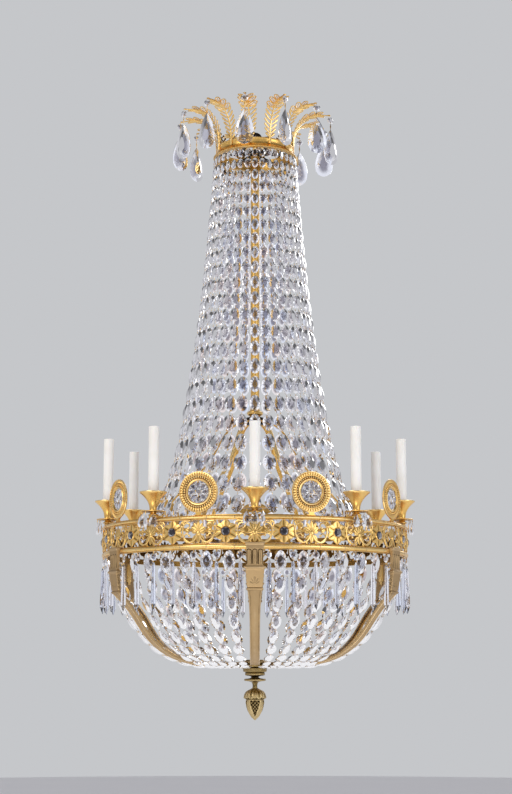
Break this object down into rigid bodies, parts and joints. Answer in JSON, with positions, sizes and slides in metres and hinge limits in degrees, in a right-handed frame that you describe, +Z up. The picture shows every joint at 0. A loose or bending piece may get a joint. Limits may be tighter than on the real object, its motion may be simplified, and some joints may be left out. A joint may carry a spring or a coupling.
{
  "type": "crystal chandelier",
  "caption": "Tent-and-basket chandelier: gilt crown and gallery hung with strands of cut-glass beads, candle lights round the gallery and an acorn finial below.",
  "frame": {"origin": "centre of the suspension eye's hole", "axes": "+X to the right seen from the front, +Y to the back along the eye's hole, +Z up along the stem"},
  "size_m": [0.7686, 0.7683, 1.5015],
  "materials": {
    "gilt_brass": "satin gilt",
    "antique_brass": "aged gilt",
    "dark_iron": "dark bronze paint",
    "clear_crystal": "cut and polished",
    "dark_stone": "cut and polished",
    "white_sleeve": "matt"
  },
  "bodies": {
    "frame": {"suspension_rod": "dark_iron", "crown_spider": "dark_iron", "stay_hub": "dark_iron", "hub_nut": "dark_iron", "stem_tube": "gilt_brass", "stem_knob": "gilt_brass", "crown_band": "gilt_brass", "crown_plumes": "gilt_brass", "tent_stays": "gilt_brass", "gallery_lower_moulding": "gilt_brass", "gallery_upper_moulding": "gilt_brass", "tent_ring": "gilt_brass", "frieze_rosettes": "gilt_brass", "frieze_palmettes": "gilt_brass", "gallery_bridges": "gilt_brass", "nozzle_pedestals": "gilt_brass", "drip_collars": "gilt_brass", "nozzle_cups": "gilt_brass", "medallion_frames": "gilt_brass", "medallion_feet": "gilt_brass", "pilaster_01": "antique_brass", "pilaster_02": "antique_brass", "pilaster_03": "antique_brass", "pilaster_04": "antique_brass", "pilaster_05": "antique_brass", "pilaster_06": "antique_brass", "basket_plate": "antique_brass", "basket_boss": "antique_brass", "acorn_cap": "antique_brass", "acorn_nut": "antique_brass", "tent_beads": "clear_crystal", "basket_beads": "clear_crystal", "icicle_beads": "clear_crystal", "icicle_prisms": "clear_crystal", "nozzle_drops": "clear_crystal", "medallion_crystals": "clear_crystal", "rosette_stones": "dark_stone", "candle_sleeves": "white_sleeve"},
    "pendant_01": {"crown_pendant_01": "clear_crystal"},
    "pendant_02": {"crown_pendant_02": "clear_crystal"},
    "pendant_03": {"crown_pendant_03": "clear_crystal"},
    "pendant_04": {"crown_pendant_04": "clear_crystal"},
    "pendant_05": {"crown_pendant_05": "clear_crystal"},
    "pendant_06": {"crown_pendant_06": "clear_crystal"},
    "pendant_07": {"crown_pendant_07": "clear_crystal"},
    "pendant_08": {"crown_pendant_08": "clear_crystal"},
    "pendant_09": {"crown_pendant_09": "clear_crystal"},
    "pendant_10": {"crown_pendant_10": "clear_crystal"},
    "pendant_11": {"crown_pendant_11": "clear_crystal"},
    "pendant_12": {"crown_pendant_12": "clear_crystal"}
  },
  "joints": [
    {"name": "pendant_01_swing", "type": "hinge", "parent": "frame", "child": "pendant_01", "pos_m": [-0.02502, -0.19003, 0.0545], "axis": [0.9914, -0.1305, 0], "range_deg": [-30, 30]},
    {"name": "pendant_02_swing", "type": "hinge", "parent": "frame", "child": "pendant_02", "pos_m": [0.07335, -0.17708, 0.0545], "axis": [0.9239, 0.3827, 0], "range_deg": [-30, 30]},
    {"name": "pendant_03_swing", "type": "hinge", "parent": "frame", "child": "pendant_03", "pos_m": [0.15206, -0.11668, 0.0545], "axis": [0.6088, 0.7934, 0], "range_deg": [-30, 30]},
    {"name": "pendant_04_swing", "type": "hinge", "parent": "frame", "child": "pendant_04", "pos_m": [0.19003, -0.02502, 0.0545], "axis": [0.1305, 0.9914, 0], "range_deg": [-30, 30]},
    {"name": "pendant_05_swing", "type": "hinge", "parent": "frame", "child": "pendant_05", "pos_m": [0.17708, 0.07335, 0.0545], "axis": [-0.3827, 0.9239, 0], "range_deg": [-30, 30]},
    {"name": "pendant_06_swing", "type": "hinge", "parent": "frame", "child": "pendant_06", "pos_m": [0.11668, 0.15206, 0.0545], "axis": [-0.7934, 0.6088, 0], "range_deg": [-30, 30]},
    {"name": "pendant_07_swing", "type": "hinge", "parent": "frame", "child": "pendant_07", "pos_m": [0.02502, 0.19003, 0.0545], "axis": [-0.9914, 0.1305, 0], "range_deg": [-30, 30]},
    {"name": "pendant_08_swing", "type": "hinge", "parent": "frame", "child": "pendant_08", "pos_m": [-0.07335, 0.17708, 0.0545], "axis": [-0.9239, -0.3827, 0], "range_deg": [-30, 30]},
    {"name": "pendant_09_swing", "type": "hinge", "parent": "frame", "child": "pendant_09", "pos_m": [-0.15206, 0.11668, 0.0545], "axis": [-0.6088, -0.7934, 0], "range_deg": [-30, 30]},
    {"name": "pendant_10_swing", "type": "hinge", "parent": "frame", "child": "pendant_10", "pos_m": [-0.19003, 0.02502, 0.0545], "axis": [-0.1305, -0.9914, 0], "range_deg": [-30, 30]},
    {"name": "pendant_11_swing", "type": "hinge", "parent": "frame", "child": "pendant_11", "pos_m": [-0.17708, -0.07335, 0.0545], "axis": [0.3827, -0.9239, 0], "range_deg": [-30, 30]},
    {"name": "pendant_12_swing", "type": "hinge", "parent": "frame", "child": "pendant_12", "pos_m": [-0.11668, -0.15206, 0.0545], "axis": [0.7934, -0.6088, 0], "range_deg": [-30, 30]}
  ]
}
